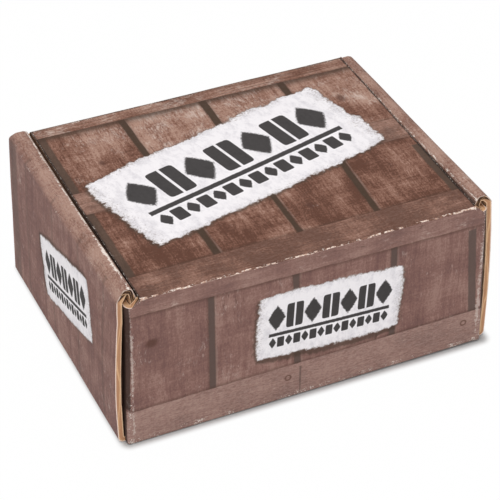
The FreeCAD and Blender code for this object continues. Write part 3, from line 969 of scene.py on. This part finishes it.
def awayFrom(points, segments, batch=2000):
    # least distance from each flat point to a list of flat segments
    starts = np.array([[*a] for a, __ in segments])
    runs = np.array([[*b] for __, b in segments]) - starts
    lengths = np.maximum((runs ** 2).sum(1), 1e-9)
    nearest = np.full(len(points), 1e9)
    for begin in range(0, len(points), batch):
        gap = points[begin:begin + batch, None, :] - starts[None]
        share = np.clip((gap * runs[None]).sum(2) / lengths[None], 0, 1)
        gap = gap - share[..., None] * runs[None]
        nearest[begin:begin + batch] = np.sqrt((gap ** 2).sum(2)).min(1)
    return nearest


def findFace(bm, direction, level, within):
    # the largest face that looks along a direction, at about a level
    found = [f for f in bm.faces if f.normal.dot(direction) > board["facingDot"]
             and abs(f.calc_center_median().z - level) < within * mm]
    return max(found, key=lambda f: f.calc_area())


def ramp(value, start, length):
    # from 0 to 1 as value goes over a length from start
    return min(max((value - start) / length, 0), 1)


def settle(point):
    # the small waves and dents that folded board has, the same for pieces that lie together
    spot = point / (board["wobbleLength"] * mm)
    moved = point + noise.noise_vector(spot + Vector(board["wobblePlace"])) * board["wobble"] * mm
    fine = noise.noise_vector(point / (board["rippleLength"] * mm)) * board["ripple"] * mm
    return moved + fine


# in millimetres: how far the two rolled ends have sunk at their front ends and moved outwards, the
# front wall's top has sunk and the left end's back edge has gone in; ramps as start and length;
# footSharp: how much sharper the fold at the hinge wall's foot is, in the middle and more along it
sag = {
    1: {"drop": 2.1, "spread": 0.7}, -1: {"drop": 5.2, "spread": -2.4},
    "height": (78, 16), "outside": (90.9, 1.6), "rim": (92, 9), "low": (40, 50),
    "pinch": 1.1, "pinchTop": 86, "pinchLength": 10, "front": 1.6, "frontWall": (75.5, 0.5),
    "frontTop": (79, 6), "footSharp": {"middle": 0.22, "along": 0.0015},
}


def sinkRoll(point):
    # from the hinge wall to the front, only the top of the ends and only outside the lid
    side = 1 if point.x > 0 else -1
    forward = (backFace - point.y) / (2 * backFace)
    height = ramp(point.z / mm, *sag["height"])
    outside = ramp(abs(point.x) / mm, *sag["outside"])
    rim = ramp(abs(point.x) / mm, *sag["rim"])
    low = ramp(point.z / mm, *sag["low"])
    point.z -= sag[side]["drop"] * mm * forward * height * height * outside
    point.x += side * sag[side]["spread"] * mm * forward * low * rim
    if side > 0:
        below = min(max((sag["pinchTop"] - point.z / mm) / sag["pinchLength"], 0), 1)
        point.x -= sag["pinch"] * mm * (1 - forward) * rim * below
    sharpenFoot(point)
    front = ramp(-point.y / mm, *sag["frontWall"])
    point.z -= sag["front"] * mm * front * ramp(point.z / mm, *sag["frontTop"])
    return point


def sharpenFoot(point):
    # the fold at the foot of the hinge wall is pressed sharper than its radius
    radius, sharp = board["foldRadius"] * mm, sag["footSharp"]
    middle = backFace - radius
    aside, below = point.y - middle, radius - point.z
    if aside > 0 and below > 0:
        pressed = sharp["middle"] + sharp["along"] * point.x / mm
        sharper = 1 + pressed * (2 * aside * below / (aside * aside + below * below)) ** 2
        point.y, point.z = middle + aside * sharper, radius - below * sharper


def keepInBox(bm):
    low, high = Vector(cadBox[0]), Vector(cadBox[1])
    inside = board["insideBox"] * mm
    for v in bm.verts:
        for axis in range(3):
            v.co[axis] = min(max(v.co[axis], low[axis] + inside), high[axis] - inside)


# where each print starts on the sheet, in millimetres; the hinge wall's takes in a part of the fold below it
panels = {"hingeWall": backFace / mm - 1.6, "endAcross": 101, "endUp": 78}


def panelAt(across, up):
    # which print a place on the sheet has
    if up > creaseAt:
        return lidPrint
    if up > panels["hingeWall"]:
        return hingeWallPrint
    if abs(across) > panels["endAcross"] and abs(up) < panels["endUp"]:
        return endPrint
    return printed


def mapCuts(bm, printPlaces, plainPlaces):
    # Cut faces take their flat places from the sides that they join. Their wear map holds the depth
    # through the board and how squarely the cut crosses the flutes. Returns the printed side's rims.
    sheetMap, wearMap = bm.loops.layers.uv["sheet"], bm.loops.layers.uv["wear"]
    printAt = {v: place for places in printPlaces.values() for v, place in places.items()}
    plainAt = {v: Vector((-place.x, place.y))
               for places in plainPlaces.values() for v, place in places.items()}
    rims = []
    for face in bm.faces:
        if face.material_index != cut:
            continue
        for loop in face.loops:
            near = loop.vert in printAt
            loop[sheetMap].uv = printAt.get(loop.vert, plainAt.get(loop.vert, Vector((0, 0))))
            loop[wearMap].uv = (0.0 if near else 1.0, 0.0)
        for edge in face.edges:
            for other in edge.link_faces:
                if other.material_index == printed:
                    rims.append(tuple(printPlaces[other][v] for v in edge.verts))
                    crossing = abs((rims[-1][1] - rims[-1][0]).normalized().y)
                    for loop in face.loops:
                        loop[wearMap].uv.y = crossing
    return rims


def insetCuts(bm, farthest=400.0):
    # cut edges: the liners stand out and the middle lies a little deeper
    sheetMap = bm.loops.layers.uv["sheet"]
    cutFaces = [f for f in bm.faces if f.material_index == cut]
    bmesh.ops.inset_region(bm, faces=cutFaces, use_boundary=True, use_even_offset=False, use_interpolate=True,
                           thickness=board["linerEdge"] * mm, depth=0)
    for face in bm.faces:
        if face.material_index == cut:
            for loop in face.loops:
                loop[sheetMap].uv = [min(max(value, -farthest), farthest) for value in loop[sheetMap].uv]


def sliceCells(bm):
    # smaller cells, so that the board can wave a little
    low, high = Vector(cadBox[0]), Vector(cadBox[1])
    for axis in range(3):
        count = int((high[axis] - low[axis]) / (board["cellSize"] * mm))
        for index in range(1, count):
            spot, normal = Vector((0, 0, 0)), Vector((0, 0, 0))
            spot[axis] = low[axis] + (high[axis] - low[axis]) * index / count
            normal[axis] = 1
            bmesh.ops.bisect_plane(bm, geom=bm.verts[:] + bm.edges[:] + bm.faces[:], plane_co=spot,
                                   plane_no=normal, dist=board["sliceWithin"] * mm)


def choosePrints(bm, node, folds, rims):
    # the wear map gets the distances to the nearest fold and rim, and each panel its print
    sheetMap, wearMap = bm.loops.layers.uv["sheet"], bm.loops.layers.uv["wear"]
    printedFaces = [face for face in bm.faces if face.material_index == printed]
    loops = [loop for face in printedFaces for loop in face.loops]
    points = np.array([loop[sheetMap].uv[:] for loop in loops])
    for loop, foldAway, rimAway in zip(loops, awayFrom(points, folds), awayFrom(points, rims)):
        loop[wearMap].uv = (foldAway, rimAway)
    for face in printedFaces:
        middle = sum((loop[sheetMap].uv for loop in face.loops), Vector((0, 0))) / len(face.loops)
        panel = panelAt(*middle)
        # the inner half of the lid's hinge bead is bare board
        face.material_index = plain if node == "lid" and panel != lidPrint else panel


def makeBoard(node, outward, level, corner):
    # outward: the way that the starting face of the printed side looks, at a level in metres
    bm = bmesh.new()
    bm.from_mesh(frame["nodes"][node].data)
    bmesh.ops.remove_doubles(bm, verts=bm.verts, dist=board["mergeWithin"] * mm)
    for name in ("sheet", "wear"):
        bm.loops.layers.uv.new(name)
    bm.normal_update()
    sheetMap = bm.loops.layers.uv["sheet"]
    for face in bm.faces:
        face.material_index = cut
    leftward = Vector((-1, 0, 0))
    printStart = findFace(bm, outward, level, board["printedWithin"])
    plainStart = findFace(bm, -outward, level, board["plainWithin"])
    folds, printPlaces = spreadFlat(bm, printStart, leftward, corner, printed)
    __, plainPlaces = spreadFlat(bm, plainStart, -leftward, corner, plain)
    for face in plainPlaces:
        for loop in face.loops:
            loop[sheetMap].uv.x *= -1
    rims = mapCuts(bm, printPlaces, plainPlaces)
    print(node, "faces:", len(bm.faces), "folds:", len(folds), "rims:", len(rims),
          "cut faces:", sum(f.material_index == cut for f in bm.faces))
    insetCuts(bm)
    sliceCells(bm)
    choosePrints(bm, node, folds, rims)
    for v in bm.verts:
        v.co = settle(sinkRoll(v.co) if node == "tray" else v.co)
    keepInBox(bm)
    return bm


def finishPiece(bm, name):
    mesh = bpy.data.meshes.new(name)
    bm.to_mesh(mesh)
    bm.free()
    for material in finishes:
        mesh.materials.append(material)
    mesh.polygons.foreach_set("use_smooth", [True] * len(mesh.polygons))
    mesh.set_sharp_from_angle(angle=math.radians(board["smoothAngle"]))
    piece = bpy.data.objects.new(name, mesh)
    bpy.context.scene.collection.objects.link(piece)
    print(name, "made:", len(mesh.polygons), "faces")
    return piece


upwards = Vector((0, 0, 1))
boards = {
    "tray": {"outward": -upwards, "level": 0.0, "corner": (0, 0)},
    "lid": {"outward": upwards, "level": lidHigh.z, "corner": (0, lidZero)},
}
for node, start in boards.items():
    piece = finishPiece(makeBoard(node, **start), node + "Board")
    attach(piece, node)
    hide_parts(node)


# the fold between the hinge wall and the lid, in millimetres; a ripple along it is given as
# amount, length and place in the noise
crease = {
    "onWall": 1.7, "onLid": 1.5, "lift": 0.05, "skin": 0.22, "stepLong": 0.5, "rows": 18,
    "lidShare": 0.55, "jog": 0.45, "jogFlute": (1.7, (2.6, 4.4)), "jogFine": (0.5, 3, (8.1, 1.2)),
    "crack": 0.36, "crackChange": 0.11, "crackWide": (1, 6, (0.3, 7.1)), "crackFine": (0.6, 1.1, (5.3, 0.7)),
    "endWear": 0.6, "endLong": 5, "wearLeast": 0.25, "rimAway": 3.0,
    "dent": 0.16, "dentReach": 1.4, "dentBase": 0.35,
    "sagWide": (0.5, 5, (1.7, 2.2)), "sagFine": (0.5, 1.9, (4.4, 0.1)),
}


def rippleAt(along, amount, length, place):
    return amount * noise.noise((along / length, *place))


def aroundCrease(across):
    # place and outward direction on the fold, for a distance in millimetres up from its lower end
    radius = creaseRadius / mm
    if across < 0:
        return Vector((0, radius, across)), Vector((0, 1, 0))
    if across < bendLength:
        turn = across / radius
        outward = Vector((0, math.cos(turn), math.sin(turn)))
        return Vector((0, radius * math.cos(turn), radius * math.sin(turn))), outward
    return Vector((0, bendLength - across, radius)), Vector((0, 0, 1))


def crackAt(along, wide):
    # the crack jumps sideways from flute to flute and is widest at both ends
    fluteStep, flutePlace = crease["jogFlute"]
    flute = math.floor(along / board["flutePitch"])
    jog = noise.noise((flute * fluteStep, *flutePlace)) + rippleAt(along, *crease["jogFine"])
    jog *= crease["jog"]
    change = rippleAt(along, *crease["crackWide"]) + rippleAt(along, *crease["crackFine"])
    crack = crease["crack"] + crease["crackChange"] * change
    crack += crease["endWear"] * max(0.0, 1 - (wide / 2 - abs(along)) / crease["endLong"])
    return jog, crack


def makeCrease():
    # one skin laid around the fold, over both the wall and the lid
    wide = (lidHigh.x - lidLow.x) / mm
    tall = crease["onWall"] + bendLength + crease["onLid"]
    bm = bmesh.new()
    for name in ("sheet", "wear"):
        bm.loops.layers.uv.new(name)
    bmesh.ops.create_grid(bm, x_segments=int(wide / crease["stepLong"]), y_segments=crease["rows"], size=0.5)
    sheetMap, wearMap = bm.loops.layers.uv["sheet"], bm.loops.layers.uv["wear"]
    flat = {v: (v.co.x * wide, (v.co.y + 0.5) * tall - crease["onWall"]) for v in bm.verts}
    for face in bm.faces:
        along = sum(flat[v][0] for v in face.verts) / len(face.verts)
        up = sum(flat[v][1] for v in face.verts) / len(face.verts)
        face.material_index = lidPrint if up > bendLength * crease["lidShare"] else hingeWallPrint
        jog, crack = crackAt(along, wide)
        if abs(up - bendLength / 2 - jog) < crack:
            face.material_index = bare
        for loop in face.loops:
            along, up = flat[loop.vert]
            loop[sheetMap].uv = (along, creaseAt + up)
            loop[wearMap].uv = (abs(up - bendLength / 2 - jog) + crease["wearLeast"], crease["rimAway"])
    for v, (along, up) in flat.items():
        sagging = rippleAt(along, *crease["sagWide"]) + rippleAt(along, *crease["sagFine"])
        place, outward = aroundCrease(up)
        near = max(0.0, 1 - abs(up - bendLength / 2) / crease["dentReach"])
        dent = crease["dent"] * near * (sagging - crease["dentBase"])
        v.co = settle(hingePoint + (place + outward * (crease["lift"] + dent) - Vector((along, 0, 0))) * mm)
        v.co.y = min(v.co.y, cadBox[1][1])
    bmesh.ops.recalc_face_normals(bm, faces=bm.faces)
    if max(bm.faces, key=lambda f: f.normal.z).normal.z < 0.5:
        bmesh.ops.reverse_faces(bm, faces=bm.faces)
    bmesh.ops.solidify(bm, geom=bm.faces[:], thickness=crease["skin"] * mm)
    # solidify leaves the new faces in another order each run
    bm.verts.index_update()
    total = len(bm.verts)
    corners = {face: [v.index for v in face.verts] for face in bm.faces}
    bm.faces.sort(key=lambda face: min(corners[face]) * total + max(corners[face]))
    bm.normal_update()
    for face in bm.faces:
        arm = face.calc_center_median() - hingePoint
        if face.normal.y * arm.y + face.normal.z * arm.z < 0:
            face.material_index = plain
    for v in bm.verts:
        v.co.y = min(v.co.y, cadBox[1][1])
    piece = finishPiece(bm, "lidCrease")
    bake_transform(piece)


makeCrease()
